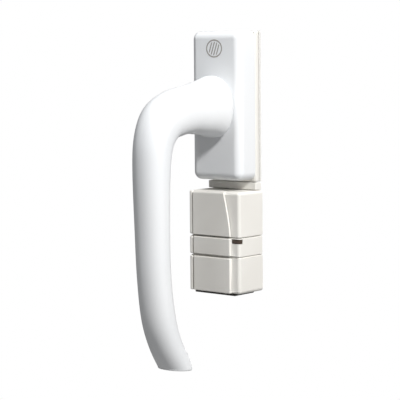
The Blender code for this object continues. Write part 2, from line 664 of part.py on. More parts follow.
def make_chassis():
    half_shoulder = PLATE_WIDTH / 2
    chassis = boxes("module_chassis", [(
        (-half_shoulder, PLATE_FRONT, SHOULDER_TOP - SHOULDER_HEIGHT), (half_shoulder, 0.0, SHOULDER_TOP),
    )], CREAM)
    round_edges(chassis, SHOULDER_EDGE, 1)
    boolean(chassis, boxes("chassis_wall", [(
        (-CHASSIS_X, -CHASSIS_WALL, CHASSIS_BOTTOM), (CHASSIS_X, 0.0, UPPER_TOP - BLOCK_WALL - GAP),
    )], collection=CUTTERS), "UNION")
    boolean(chassis, boxes("chassis_tongue", [(
        (-TONGUE_X, -CHASSIS_WALL, UPPER_TOP - BLOCK_WALL - MM),
        (TONGUE_X, -0.01 * MM, SHOULDER_TOP - SHOULDER_HEIGHT + MM),
    )], collection=CUTTERS), "UNION")
    board_post_x = BOARD_X - POST_RADIUS - 2 * GAP
    board_post_z = BOARD_TOP - BOARD_HEIGHT + 4.0 * MM
    holder_post_x = 6.0 * MM
    holder_post_z = CHASSIS_BOTTOM + 5.0 * MM
    board_posts = [
        (POST_RADIUS, -CHASSIS_WALL / 2, BOARD_BACK + GAP, side * board_post_x, board_post_z)
        for side in (1, -1)
    ]
    holder_posts = [
        (POST_RADIUS, -CHASSIS_WALL / 2, HOLDER_BACK + GAP, side * holder_post_x, holder_post_z)
        for side in (1, -1)
    ]
    boolean(chassis, rods("chassis_posts", board_posts + holder_posts, collection=CUTTERS), "UNION")
    # The ribbon comes down behind the shoulder and turns in through the wall to the board.
    half_ribbon = RIBBON_WIDTH / 2 + GAP
    slot_low = BOARD_TOP - 3.0 * MM
    boolean(chassis, boxes("chassis_ribbon_slot", [(
        (RIBBON_X - half_ribbon, -CHASSIS_WALL - MM, slot_low),
        (RIBBON_X + half_ribbon, MM, SHOULDER_TOP + MM),
    )], collection=CUTTERS))
    for name, radius, depth in (
        ("housing_screw_holes", HOUSING_SCREW_RADIUS + GAP, CHASSIS_WALL + MM),
        ("housing_screw_seats", HOUSING_SCREW_HEAD + GAP, HOUSING_SCREW_HEAD_DEPTH + 0.1 * MM + GAP),
    ):
        boolean(chassis, rods(name, [
            (radius, MM, -depth, side * HOUSING_SCREW_X, HOUSING_SCREW_Z) for side in (1, -1)
        ], collection=CUTTERS))


def panel_outline(low, high, sweep=0.0):
    """The raised front panel's outline; its right side sweeps in towards the top by the given amount."""
    steps = 10 if sweep else 1
    right = [
        (PANEL_RIGHT - sweep * (step / steps) ** PANEL_SWEEP_POWER, low + (high - low) * step / steps)
        for step in range(steps + 1)
    ]
    return [(-PANEL_LEFT, high), (-PANEL_LEFT, low)] + right


def add_panel(segment, low, high, sweep=0.0):
    """Stands the raised panel on a segment's front, and a lower rail to its left with a groove between."""
    depth = PANEL_RISE + BLOCK_WALL / 2
    middle = -BLOCK_DEPTH - PANEL_RISE + depth / 2
    panel = flat_shape(
        segment.name + "_panel", panel_outline(low + PANEL_INSET, high - PANEL_INSET, sweep), depth,
        ACROSS_XZ, (0.0, middle, 0.0), collection=CUTTERS,
    )
    boolean(segment, panel, "UNION")
    rail = boxes(segment.name + "_rail", [(
        (-RAIL_OUTER_X, -BLOCK_DEPTH - RAIL_RISE, low + PANEL_INSET),
        (-PANEL_LEFT - RAIL_GROOVE, -BLOCK_DEPTH + BLOCK_WALL / 2, high - PANEL_INSET),
    )], collection=CUTTERS)
    round_edges(rail, RAIL_EDGE, 2)
    boolean(segment, rail, "UNION")


def make_upper_cover():
    half = BLOCK_WIDTH / 2
    cover = open_shell(
        "upper_cover", (-half, -BLOCK_DEPTH, UPPER_BOTTOM), (half, 0.0, UPPER_TOP),
        BLOCK_WALL, BLOCK_EDGE, [(0, 1, 0), (0, 0, -1)], CREAM, segments=3,
    )
    add_panel(cover, UPPER_BOTTOM, UPPER_TOP - BLOCK_EDGE / 2, PANEL_SWEEP)
    bosses = [
        (HOUSING_BOSS_RADIUS, -CHASSIS_WALL - GAP, -BLOCK_DEPTH + BLOCK_WALL / 2, side * HOUSING_SCREW_X,
         HOUSING_SCREW_Z)
        for side in (1, -1)
    ]
    boolean(cover, rods("cover_bosses", bosses, collection=CUTTERS), "UNION")
    bores = [
        (HOUSING_SCREW_RADIUS + GAP, 0.0, -BLOCK_DEPTH + BLOCK_WALL + MM, side * HOUSING_SCREW_X,
         HOUSING_SCREW_Z)
        for side in (1, -1)
    ]
    boolean(cover, rods("cover_boss_bores", bores, collection=CUTTERS))
    right = RIBBON_X + RIBBON_WIDTH / 2 + GAP
    boolean(cover, boxes("tongue_slot", [(
        (-TONGUE_X - GAP, -CHASSIS_WALL - GAP, UPPER_TOP - BLOCK_WALL - MM), (right, MM, UPPER_TOP + MM),
    )], collection=CUTTERS))


def make_middle_band():
    half = BLOCK_WIDTH / 2
    band = open_shell(
        "middle_band", (-half, -BLOCK_DEPTH, BAND_BOTTOM), (half, 0.0, BAND_TOP),
        BLOCK_WALL, BLOCK_EDGE, [(0, 1, 0), (0, 0, 1), (0, 0, -1)], CREAM, segments=3,
    )
    add_panel(band, BAND_BOTTOM, BAND_TOP)
    boolean(band, boxes("window_notch", [(
        (NOTCH_LEFT, -BLOCK_DEPTH - MM, WINDOW_Z - WINDOW_HEIGHT / 2 - GAP),
        (half + MM, -BLOCK_DEPTH + WINDOW_RETURN + GAP, WINDOW_Z + WINDOW_HEIGHT / 2 + GAP),
    )], collection=CUTTERS), solver="MANIFOLD")


def make_battery_cover():
    half = BLOCK_WIDTH / 2
    cover = open_shell(
        "battery_cover", (-half, -BLOCK_DEPTH, LOWER_BOTTOM), (half, 0.0, LOWER_TOP),
        BLOCK_WALL, BLOCK_EDGE, [(0, 1, 0), (0, 0, 1)], CREAM, segments=3,
    )
    add_panel(cover, LOWER_BOTTOM, LOWER_TOP)
    top = LOWER_BOTTOM - GAP
    inset = BOTTOM_PLATE_INSET
    plate = boxes("bottom_plate", [(
        (-half + inset, -BLOCK_DEPTH + inset / 2, top - BOTTOM_PLATE_DEPTH),
        (half - 2 * inset, -inset, top),
    )], DARK)
    round_edges(plate, 0.3 * MM, 1)


def make_status_window():
    """A dark lens round the corner, with a stem that leads light from the lamp to it."""
    half = BLOCK_WIDTH / 2
    sunk = 0.15 * MM
    left = NOTCH_LEFT + sunk
    right = half - sunk
    front = -BLOCK_DEPTH + sunk
    back = -BLOCK_DEPTH + WINDOW_RETURN
    radius = BLOCK_EDGE - sunk
    stem_left = BLOCK_INNER_X - LAMP_INSET - LAMP_SIDE / 2
    stem_right = BLOCK_INNER_X - LAMP_INSET + LAMP_SIDE / 2
    stem_back = LAMP_FRONT - GAP
    rounding = corner_arc((right - radius, front + radius), radius, -90, 0)
    outline = [(left, front)] + rounding + [
        (right, back), (stem_right, back), (stem_right, stem_back), (stem_left, stem_back),
        (stem_left, back), (left, back),
    ]
    flat_shape("status_window", outline, WINDOW_HEIGHT, ACROSS_XY, (0.0, 0.0, WINDOW_Z), WINDOW)


# Electronics


def make_circuit_board():
    low = BOARD_TOP - BOARD_HEIGHT
    board = boxes("circuit_board", [((-BOARD_X, BOARD_FRONT, low), (BOARD_X, BOARD_BACK, BOARD_TOP))], BOARD)
    holes = [
        (HOUSING_BOSS_RADIUS + GAP, BOARD_BACK + MM, BOARD_FRONT - MM, side * HOUSING_SCREW_X,
         HOUSING_SCREW_Z)
        for side in (1, -1)
    ]
    boolean(board, rods("board_holes", holes, collection=CUTTERS))
    front = BOARD_FRONT - GAP
    radio_left = -7.0 * MM
    radio_width = 12.0 * MM
    radio_height = 9.0 * MM
    radio_depth = 1.8 * MM
    radio_top = HOUSING_SCREW_Z - HOUSING_BOSS_RADIUS - MM
    radio = boxes("radio_module", [(
        (radio_left, front - radio_depth, radio_top - radio_height),
        (radio_left + radio_width, front, radio_top),
    )], CHIP)
    round_edges(radio, 0.3 * MM, 1)
    lamp_x = BLOCK_INNER_X - LAMP_INSET
    half_lamp = LAMP_SIDE / 2
    lamp = boxes("status_lamp", [(
        (lamp_x - half_lamp, LAMP_FRONT, WINDOW_Z - half_lamp),
        (lamp_x + half_lamp, front, WINDOW_Z + half_lamp),
    )], LAMP)
    round_edges(lamp, 0.2 * MM, 1)


def make_battery():
    half = CELL_RADIUS + GAP + HOLDER_WALL
    low = CELL_Z - CELL_RADIUS - GAP - HOLDER_WALL + GAP
    holder = boxes("battery_holder", [((-half, CELL_FRONT, low), (half, HOLDER_BACK, HOLDER_TOP))], CHIP)
    pocket = [(CELL_RADIUS + GAP, HOLDER_FLOOR, CELL_FRONT - MM, 0.0, CELL_Z)]
    boolean(holder, rods("holder_pocket", pocket, collection=CUTTERS))
    cell = rods("coin_cell", [(CELL_RADIUS, CELL_BACK, CELL_FRONT, 0.0, CELL_Z)], STEEL)
    round_edges(cell, 0.4 * MM, 2)
    back = HOLDER_FLOOR - GAP
    reach = 0.7 * CELL_RADIUS
    boxes("contact_negative", [(
        (-CONTACT_WIDTH / 2, back - CONTACT_THICKNESS, CELL_Z - reach),
        (CONTACT_WIDTH / 2, back, CELL_Z + reach),
    )], BRASS)
    # The positive contact is clipped over the holder's top and presses on the cell's front.
    front = CELL_FRONT - GAP - CONTACT_THICKNESS / 2
    over = HOLDER_TOP + GAP + CONTACT_THICKNESS / 2
    bend = CONTACT_THICKNESS
    path = [(front, CELL_Z), (front, over - bend), (front + bend, over), (BOARD_FRONT - GAP, over)]
    flat_shape("contact_positive", strip(path, CONTACT_THICKNESS), CONTACT_WIDTH, ACROSS_YZ, (0, 0, 0), BRASS)


def make_position_sensor():
    back = PLATE_BACK - POCKET_DEPTH + GAP + SENSOR_BOARD_DEPTH
    half = SENSOR_BOARD_HEIGHT / 2
    boxes("sensor_board", [(
        (SENSOR_BOARD_INNER_X, back - SENSOR_BOARD_DEPTH, -half), (SENSOR_BOARD_OUTER_X, back, half),
    )], BOARD)
    middle = (SENSOR_BOARD_INNER_X + SENSOR_BOARD_OUTER_X) / 2
    half_chip = 0.9 * MM
    chip_front = back + 0.2 * MM
    chip_back = chip_front + 0.5 * MM
    chip_spacing = 6.0 * MM
    for name, steps_up in (("hall_sensor_top", 1), ("hall_sensor_middle", 0), ("hall_sensor_bottom", -1)):
        z = steps_up * chip_spacing
        boxes(name, [(
            (middle - half_chip, chip_front, z - half_chip), (middle + half_chip, chip_back, z + half_chip),
        )], CHIP)
    bend = 1.2 * MM
    end = BOARD_TOP - 1.6 * MM
    path = [
        (RIBBON_Y, -half - GAP), (RIBBON_Y, end + bend), (RIBBON_Y - bend, end), (BOARD_BACK + GAP, end),
    ]
    flat_shape(
        "ribbon_cable", strip(path, RIBBON_THICKNESS), RIBBON_WIDTH, ACROSS_YZ, (RIBBON_X, 0, 0), BEARING
    )


def make_housing_screws():
    head_back = -0.1 * MM
    slot_reach = 1.3 * MM
    slot_half_width = 0.25 * MM
    slot_depth = 0.6 * MM
    for name, side in (("housing_screw_right", 1), ("housing_screw_left", -1)):
        make_screw(
            name, side * HOUSING_SCREW_X, HOUSING_SCREW_Z,
            shaft=(HOUSING_SCREW_RADIUS, head_back - HOUSING_SCREW_HEAD_DEPTH / 2, -HOUSING_SCREW_END),
            head=(HOUSING_SCREW_HEAD, head_back, head_back - HOUSING_SCREW_HEAD_DEPTH),
            drive=(slot_reach, slot_half_width, head_back - slot_depth, MM),
        )


make_gasket()
make_plate()
make_rosette_base()
make_rosette_cover()
make_neck_bush()
make_detent_springs()
make_lever()
make_spindle()
make_detent_disc()
make_retaining_ring()
make_sensor_rotor()
make_chassis()
make_upper_cover()
make_middle_band()
make_battery_cover()
make_status_window()
make_circuit_board()
make_battery()
make_position_sensor()
make_housing_screws()
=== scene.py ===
import math

import bmesh
import bpy
from mathutils import Matrix, Vector


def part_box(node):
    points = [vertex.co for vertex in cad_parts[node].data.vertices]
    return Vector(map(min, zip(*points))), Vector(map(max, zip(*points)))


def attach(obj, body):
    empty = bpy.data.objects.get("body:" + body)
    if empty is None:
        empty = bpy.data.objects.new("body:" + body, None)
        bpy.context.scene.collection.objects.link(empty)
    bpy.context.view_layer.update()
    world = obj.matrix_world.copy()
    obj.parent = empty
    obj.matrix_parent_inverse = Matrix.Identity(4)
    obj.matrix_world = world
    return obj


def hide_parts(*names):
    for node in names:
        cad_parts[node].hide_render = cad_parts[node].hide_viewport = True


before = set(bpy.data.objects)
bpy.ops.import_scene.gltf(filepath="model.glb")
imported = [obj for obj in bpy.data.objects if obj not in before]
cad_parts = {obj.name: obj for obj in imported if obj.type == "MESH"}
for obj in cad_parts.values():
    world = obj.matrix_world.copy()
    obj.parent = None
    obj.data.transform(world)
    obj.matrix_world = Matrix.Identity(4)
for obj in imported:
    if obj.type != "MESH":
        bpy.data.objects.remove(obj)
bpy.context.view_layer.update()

# Sealing gasket: a sheet of closed-cell foam between the back plate and the window sash. It is
# die-cut to the plate's outline and glued to the plate's back.
MM = 0.001
CUT_PAST = 1.0 * MM
CORNER = math.radians(60)
SHARP = math.radians(38)
FOAM_INSET = 0.05 * MM
FOAM_GAP = 0.05 * MM
FOAM_EDGE = 0.12 * MM
FOAM_EDGE_STEPS = 3
FOAM_SCREW_HOLE = 5.2 * MM
FOAM_SPINDLE_HOLE = 7.4 * MM
SCREW_SPACING = 43.0 * MM
ROUND_POINTS = 96


class Finish:
    """A socket in a material's nodes. Arithmetic on it adds Math nodes; node() adds any other kind."""

    def __init__(self, tree, socket=None):
        self.tree = tree
        self.socket = socket

    def node(self, kind, settings=None, sockets=None, output=0):
        made = self.tree.nodes.new(kind)
        for name, value in (settings or {}).items():
            setattr(made, name, value)
        for name, value in (sockets or {}).items():
            if isinstance(value, Finish):
                self.tree.links.new(value.socket, made.inputs[name])
            else:
                made.inputs[name].default_value = value
        return Finish(self.tree, made.outputs[output])

    def maths(self, operation, first, second=0.0):
        return self.node("ShaderNodeMath", {"operation": operation}, {0: first, 1: second})

    def __add__(self, other):
        return self.maths("ADD", self, other)

    def __sub__(self, other):
        return self.maths("SUBTRACT", self, other)

    def __rsub__(self, other):
        return self.maths("SUBTRACT", other, self)

    def __mul__(self, other):
        return self.maths("MULTIPLY", self, other)

    __radd__ = __add__
    __rmul__ = __mul__

    def smooth(self, low, high):
        """0 below low, 1 above high, and an even rise between them."""
        return self.node("ShaderNodeMapRange", {"interpolation_type": "SMOOTHSTEP"}, {
            "Value": self, "From Min": low, "From Max": high,
        })

    def blend(self, first, second):
        """From the first colour to the second as this value goes from 0 to 1."""
        return self.node("ShaderNodeMix", {"data_type": "RGBA"}, {0: self, 6: first, 7: second}, 2)

    def stretched(self, x, y, z):
        return self.node("ShaderNodeVectorMath", {"operation": "MULTIPLY"}, {0: self, 1: (x, y, z)})

    def cloud(self, scale, detail=2.0, rough=0.5, twist=0.0):
        return self.node("ShaderNodeTexNoise", None, {
            "Vector": self, "Scale": scale, "Detail": detail, "Roughness": rough, "Distortion": twist,
        })

    def cells(self, scale, feature="F1"):
        return self.node("ShaderNodeTexVoronoi", {"feature": feature}, {"Vector": self, "Scale": scale})

    def raised(self, depth, strength=1.0):
        """A surface normal with this value's relief, depth metres high."""
        return self.node("ShaderNodeBump", None, {"Height": self, "Distance": depth, "Strength": strength})


def shade(red, green, blue):
    return (red, green, blue, 1.0)


def start_finish(name):
    """A new material, its shader, and the place on the object that its patterns follow."""
    made = bpy.data.materials.new(name)
    made.use_nodes = True
    shader = made.node_tree.nodes["Principled BSDF"]
    place = Finish(made.node_tree).node("ShaderNodeTexCoord", output=3)
    return made, shader, place


def set_shader(shader, place, values):
    """Sets or links the shader's sockets by name."""
    for name, value in values.items():
        if isinstance(value, Finish):
            place.tree.links.new(value.socket, shader.inputs[name])
        else:
            shader.inputs[name].default_value = value


def finish_nodes(finish, *names):
    """Gives CAD nodes their finish."""
    for name in names:
        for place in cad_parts[name].material_slots:
            place.material = finish


def closed_cell_foam():
    foam, shader, place = start_finish("closed_cell_foam")
    pores = place.cells(1500.0)
    skin = place.cloud(260.0)
    set_shader(shader, place, {
        "Base Color": pores.smooth(0.1, 0.7).blend(shade(0.86, 0.85, 0.82), shade(0.76, 0.75, 0.72)),
        "Roughness": 0.86 + 0.1 * skin,
        "Normal": (skin * 0.4 - pores).raised(0.00018, 0.7),
    })
    return foam


def piece_from(name, shape, finish=None):
    """A new piece, or a tool that cuts or joins one, from a shape."""
    mesh = bpy.data.meshes.new(name)
    shape.to_mesh(mesh)
    shape.free()
    if finish:
        mesh.materials.append(finish)
    piece = bpy.data.objects.new(name, mesh)
    bpy.context.scene.collection.objects.link(piece)
    return piece


def modify(piece, kind, **settings):
    modifier = piece.modifiers.new(kind.lower(), kind)
    for name, value in settings.items():
        setattr(modifier, name, value)


def settle(piece, *tools, sharp=SHARP):
    """Makes the modifiers' result the piece's own mesh, shades it and takes the tools away."""
    def kept_result():
        graph = bpy.context.evaluated_depsgraph_get()
        mesh = bpy.data.meshes.new_from_object(piece.evaluated_get(graph))
        piece.modifiers.clear()
        piece.data = mesh
    kept_result()
    for tool in tools:
        bpy.data.objects.remove(tool, do_unlink=True)
    piece.data.shade_smooth()
    piece.data.set_sharp_from_angle(angle=sharp)
    modify(piece, "WEIGHTED_NORMAL", keep_sharp=True, weight=100)
    kept_result()
    return piece


def box_shape(low, high):
    shape = bmesh.new()
    low, high = Vector(low), Vector(high)
    place = Matrix.Translation((low + high) / 2) @ Matrix.Diagonal((*(high - low), 1.0))
    bmesh.ops.create_cube(shape, size=1.0, matrix=place)
    shape.normal_update()
    return shape


def round_shape(radius, back, front, z=0.0):
    """A rod along Y."""
    shape = bmesh.new()
    place = Matrix.Translation((0.0, (back + front) / 2, z)) @ Matrix.Rotation(math.pi / 2, 4, "X")
    bmesh.ops.create_cone(
        shape, cap_ends=True, segments=ROUND_POINTS, radius1=radius, radius2=radius,
        depth=abs(front - back), matrix=place,
    )
    return shape


plate_low, plate_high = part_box("mounting_plate")
gasket = piece_from("foam_gasket", box_shape(
    (plate_low.x + FOAM_INSET, plate_high.y + FOAM_GAP, plate_low.z + FOAM_INSET),
    (plate_high.x - FOAM_INSET, 0.0, plate_high.z - FOAM_INSET),
), closed_cell_foam())
foam_holes = [
    piece_from("foam_hole", round_shape(radius, CUT_PAST, plate_high.y - CUT_PAST, z)) for radius, z in (
        (FOAM_SCREW_HOLE, SCREW_SPACING / 2), (FOAM_SPINDLE_HOLE, 0.0), (FOAM_SCREW_HOLE, -SCREW_SPACING / 2),
    )
]
for hole in foam_holes:
    modify(gasket, "BOOLEAN", operation="DIFFERENCE", object=hole, solver="EXACT")
modify(gasket, "BEVEL", width=FOAM_EDGE, segments=FOAM_EDGE_STEPS, limit_method="ANGLE", angle_limit=CORNER)
settle(gasket, *foam_holes)
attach(gasket, "base")
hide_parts("sealing_gasket")

# Back plate and the module's chassis with its shoulder: injection moulded in cream plastic, with
# a fine spark-eroded grain from the mould. The plate lies on the gasket, behind the rosette.


def cream_plastic():
    plastic, shader, place = start_finish("cream_plastic")
    grain = place.cloud(2300.0, 2.0)
    flow = place.cloud(24.0, 3.0, 0.45, 0.6)
    set_shader(shader, place, {
        "Base Color": flow.smooth(0.32, 0.68).blend(shade(0.850, 0.829, 0.782), shade(0.880, 0.861, 0.817)),
        "Roughness": 0.40 + 0.10 * flow + 0.06 * grain,
        "Normal": grain.raised(0.000012, 0.55),
        "Specular IOR Level": 0.5,
    })
    return plastic


cream = cream_plastic()
finish_nodes(cream, "mounting_plate", "module_chassis")

# Rosette base, detent disc and their small parts: the base and the disc are die-cast zinc, the
# springs and the retaining ring hardened steel strip, the bush, rotor and ribbon acetal plastic.


def die_cast_zinc():
    zinc, shader, place = start_finish("die_cast_zinc")
    skin = place.cloud(420.0, 4.0, 0.6)
    flow = place.stretched(1.0, 1.0, 0.3).cloud(70.0, 3.0, 0.5, 1.2)
    set_shader(shader, place, {
        "Base Color": flow.smooth(0.3, 0.7).blend(shade(0.46, 0.47, 0.49), shade(0.62, 0.63, 0.65)),
        "Metallic": 1.0,
        "Roughness": 0.38 + 0.22 * skin,
        "Normal": skin.raised(0.00003, 0.5),
    })
    return zinc


def spring_strip():
    strip, shader, place = start_finish("spring_strip")
    rolled = place.stretched(1.0, 1.0, 0.06).cloud(1400.0, 2.0)
    heat = place.cloud(120.0, 2.0)
    set_shader(shader, place, {
        "Base Color": heat.smooth(0.35, 0.65).blend(shade(0.42, 0.43, 0.46), shade(0.50, 0.49, 0.47)),
        "Metallic": 1.0,
        "Roughness": 0.22 + 0.16 * rolled,
        "Normal": rolled.raised(0.000006, 0.5),
    })
    return strip


def acetal_plastic():
    acetal, shader, place = start_finish("acetal_plastic")
    tool_marks = place.cloud(900.0, 2.0)
    flow = place.cloud(90.0, 2.0, 0.5, 0.8)
    set_shader(shader, place, {
        "Base Color": flow.smooth(0.3, 0.7).blend(shade(0.74, 0.73, 0.69), shade(0.80, 0.79, 0.76)),
        "Roughness": 0.36 + 0.14 * tool_marks,
        "Subsurface Weight": 0.05,
        "Subsurface Radius": (0.0012, 0.0011, 0.0010),
        "Normal": tool_marks.raised(0.00001, 0.4),
    })
    return acetal


zinc = die_cast_zinc()
strip_steel = spring_strip()
acetal = acetal_plastic()
finish_nodes(zinc, "rosette_base", "detent_disc")
finish_nodes(strip_steel, "detent_spring_left", "detent_spring_right", "retaining_ring")
finish_nodes(acetal, "neck_bush", "sensor_rotor", "ribbon_cable")

# Square spindle, cross pin, coin cell and housing screws: steel with a bright plating. The spindle
# sits in the lever's socket, held by the pin; the screws hold the chassis in the upper cover.


def plated_steel():
    steel, shader, place = start_finish("plated_steel")
    drawn = place.stretched(1.0, 0.05, 1.0).cloud(1700.0, 2.0)
    passivated = place.cloud(160.0, 3.0, 0.55, 0.5)
    set_shader(shader, place, {
        "Base Color": passivated.smooth(0.3, 0.7).blend(shade(0.60, 0.62, 0.66), shade(0.70, 0.69, 0.66)),
        "Metallic": 1.0,
        "Roughness": 0.20 + 0.14 * drawn + 0.06 * passivated,
        "Normal": drawn.raised(0.000008, 0.6),
    })
    return steel


steel = plated_steel()
finish_nodes(steel, "spindle", "spindle_pin", "coin_cell", "housing_screw_left", "housing_screw_right")

# Rosette cover: a die-cast zinc shell with a white powder coat, snapped over the rosette base.
# Its back is open, its edges are well rounded, and the lever's neck comes out through its front.
COVER_WALL = 1.3 * MM
COVER_EDGE = 3.8 * MM
COVER_EDGE_STEPS = 12
COVER_RIM_EDGE = 0.25 * MM
COVER_RIM_STEPS = 2
SAME_WAY = 0.9
NECK_HOLE = 8.6 * MM


def white_powder_coat():
    coat, shader, place = start_finish("white_powder_coat")
    peel = place.cloud(620.0, 2.0, 0.45)
    specks = place.cloud(3200.0, 1.0)
    drift = place.cloud(18.0, 2.0)
    set_shader(shader, place, {
        "Base Color": drift.smooth(0.35, 0.65).blend(shade(0.855, 0.872, 0.892), shade(0.880, 0.892, 0.905)),
        "Roughness": 0.30 + 0.05 * drift + 0.05 * specks,
        "Specular IOR Level": 0.5,
        "Normal": (peel + 0.15 * specks).raised(0.00003, 0.35),
    })
    return coat


def rounded_box(low, high, edge, steps, open_to):
    """A box without the faces on its open sides, its other edges rounded."""
    def open_face(face):
        return any(face.normal.dot(Vector(side)) > SAME_WAY for side in open_to)

    shape = box_shape(low, high)
    closed = [line for line in shape.edges if not any(open_face(face) for face in line.link_faces)]
    bmesh.ops.bevel(shape, geom=closed, offset=edge, segments=steps, profile=0.5, affect="EDGES")
    shape.normal_update()
    gone = [face for face in shape.faces if open_face(face)]
    bmesh.ops.delete(shape, geom=gone, context="FACES")
    return shape


coat = white_powder_coat()
cover_low, cover_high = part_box("rosette_cover")
cover_shape = rounded_box(cover_low, cover_high, COVER_EDGE, COVER_EDGE_STEPS, [(0, 1, 0)])
rosette = piece_from("rosette_shell", cover_shape, coat)
neck_hole = piece_from("neck_hole", round_shape(NECK_HOLE, cover_high.y, cover_low.y - CUT_PAST))
modify(rosette, "SOLIDIFY", thickness=COVER_WALL, offset=-1.0, use_even_offset=True)
modify(rosette, "BOOLEAN", operation="DIFFERENCE", object=neck_hole, solver="EXACT")
modify(
    rosette, "BEVEL", width=COVER_RIM_EDGE, segments=COVER_RIM_STEPS, limit_method="ANGLE",
    angle_limit=CORNER,
)
settle(rosette, neck_hole)
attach(rosette, "base")
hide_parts("rosette_cover")

# Printed mark: a generic round badge near the top of the cover's front, pad printed in warm grey.
# It is a film of ink, a ring round slanted stripes.
MARK_X = -0.3 * MM
MARK_Z = 27.2 * MM
MARK_HALF_WIDTH = 4.9 * MM
MARK_HALF_HEIGHT = 4.3 * MM
MARK_LINE = 0.65 * MM
MARK_GAP = 0.5 * MM
MARK_STRIPES = (-2.4, -0.8, 0.8, 2.4)
MARK_SLANT = 0.35
MARK_POINTS = 72
INK_DEPTH = 0.02 * MM
INK_SUNK = 0.9


def warm_grey_ink():
    ink, shader, place = start_finish("warm_grey_ink")
    coverage = place.cloud(1900.0, 3.0, 0.6)
    set_shader(shader, place, {
        "Base Color": coverage.smooth(0.25, 0.7).blend(shade(0.30, 0.275, 0.26), shade(0.42, 0.395, 0.375)),
        "Roughness": 0.42 + 0.12 * coverage,
        "Normal": coverage.raised(0.000006, 0.4),
    })
    return ink


def printed_mark():
    shape = bmesh.new()
    front = cover_low.y - INK_DEPTH

    def at(across, up):
        return shape.verts.new((MARK_X + across, front, MARK_Z + up))

    rings = []
    for inset in (0.0, MARK_LINE):
        rings.append([
            at((MARK_HALF_WIDTH - inset) * math.cos(2 * math.pi * step / MARK_POINTS),
               (MARK_HALF_HEIGHT - inset) * math.sin(2 * math.pi * step / MARK_POINTS))
            for step in range(MARK_POINTS)
        ])
    for step in range(MARK_POINTS):
        following = (step + 1) % MARK_POINTS
        shape.faces.new((rings[0][step], rings[0][following], rings[1][following], rings[1][step]))
    inner_width = MARK_HALF_WIDTH - MARK_LINE - MARK_GAP
    inner_height = MARK_HALF_HEIGHT - MARK_LINE - MARK_GAP
    for middle in MARK_STRIPES:
        ends = []
        for side in (-0.5, 0.5):
            foot = middle * MM + side * MARK_LINE
            # Where the slanted line foot + slant * up crosses the inner ellipse
            a = (MARK_SLANT / inner_width) ** 2 + 1 / inner_height ** 2
            b = 2 * foot * MARK_SLANT / inner_width ** 2
            c = (foot / inner_width) ** 2 - 1
            root = math.sqrt(max(b * b - 4 * a * c, 0.0))
            for up in ((-b - root) / (2 * a), (-b + root) / (2 * a)):
                ends.append(at(foot + MARK_SLANT * up, up))
        shape.faces.new((ends[0], ends[2], ends[3], ends[1]))
    flat = shape.faces[:]
    bmesh.ops.recalc_face_normals(shape, faces=flat)
    raised = bmesh.ops.extrude_face_region(shape, geom=flat)
    moved = [item for item in raised["geom"] if isinstance(item, bmesh.types.BMVert)]
    bmesh.ops.translate(shape, verts=moved, vec=(0.0, INK_DEPTH * INK_SUNK, 0.0))
    bmesh.ops.recalc_face_normals(shape, faces=shape.faces)
    return shape


mark = piece_from("printed_mark", printed_mark(), warm_grey_ink())
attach(mark, "base")

# Lever: neck, elbow and grip in one zinc casting with the same white powder coat. Its journal
# goes back through the cover's hole into the bush, and its square socket holds the spindle.
LEVER_REACH = 62.5 * MM
LEVER_LENGTH = 122.0 * MM
NECK_WIDTH = 25.5 * MM
NECK_HEIGHT = 29.2 * MM
GRIP_WIDTH = 17.0 * MM
GRIP_DEPTH = 13.4 * MM
NECK_BACK = -17.0 * MM
JOURNAL_RADIUS = 8.0 * MM
JOURNAL_END = -8.3 * MM
SOCKET_HALF = 3.8 * MM
SOCKET_FLOOR = -28.3 * MM
TIP_SLOPE = 4.0
TIP_BACK = 2.4 * MM
TIP_EDGE = 0.7 * MM
TIP_EDGE_STEPS = 5
TIP_ROWS = 10
TIP_SOFTNESS = 0.5 * MM
TIP_BEND_START = -12
TIP_ZONE = 1.3 * GRIP_DEPTH
TIP_MARGIN = 1.5 * MM
TIP_FACE_RINGS = (0.35, 0.7)
JOURNAL_ROOT_EDGE = 0.4 * MM
JOURNAL_ROOT_LENGTH = 0.2 * MM
JOURNAL_END_EDGE = 0.3 * MM
LEVER_SHARP = math.radians(50)
ROUNDING = 1e-12
LEAST_LENGTH = 1e-9
LINES_ALONG = 96
STEPS_BETWEEN = 8
OUTER_ROUNDNESS = 2.15
INNER_ROUNDNESS = 2.6
# Share of the reach, share of the length, and how much of the neck's extra width and height is left
LEVER_STATIONS = (
    (0.000, 0.002, 0.52, 0.54), (0.024, 0.002, 0.85, 0.84), (0.064, 0.002, 1.00, 1.00),
    (0.165, 0.003, 0.87, 0.85), (0.320, 0.007, 0.70, 0.69), (0.472, 0.010, 0.55, 0.56),
    (0.680, 0.024, 0.45, 0.51), (0.849, 0.055, 0.38, 0.39), (0.965, 0.129, 0.21, 0.18),
    (1.000, 0.245, 0.11, 0.08), (0.996, 0.449, 0.01, 0.00), (0.976, 0.636, -0.04, -0.03),
    (0.917, 0.791, -0.01, -0.03), (0.816, 0.897, 0.00, -0.07), (0.662, 0.990, 0.05, -0.08),
    (0.594, 1.032, 0.08, -0.09),
)


def curve_through(rows, steps):
    """Points on a Catmull-Rom curve through rows of numbers."""
    rows = [Vector(row) for row in rows]
    rows = [2 * rows[0] - rows[1]] + rows + [2 * rows[-1] - rows[-2]]
    points = []
    for first, second, third, fourth in zip(rows, rows[1:], rows[2:], rows[3:]):
        for step in range(steps):
            t = step / steps
            points.append(0.5 * (
                2 * second + (third - first) * t
                + (2 * first - 5 * second + 4 * third - fourth) * t ** 2
                + (3 * second - first - 3 * third + fourth) * t ** 3
            ))
    return points + [rows[-2]]


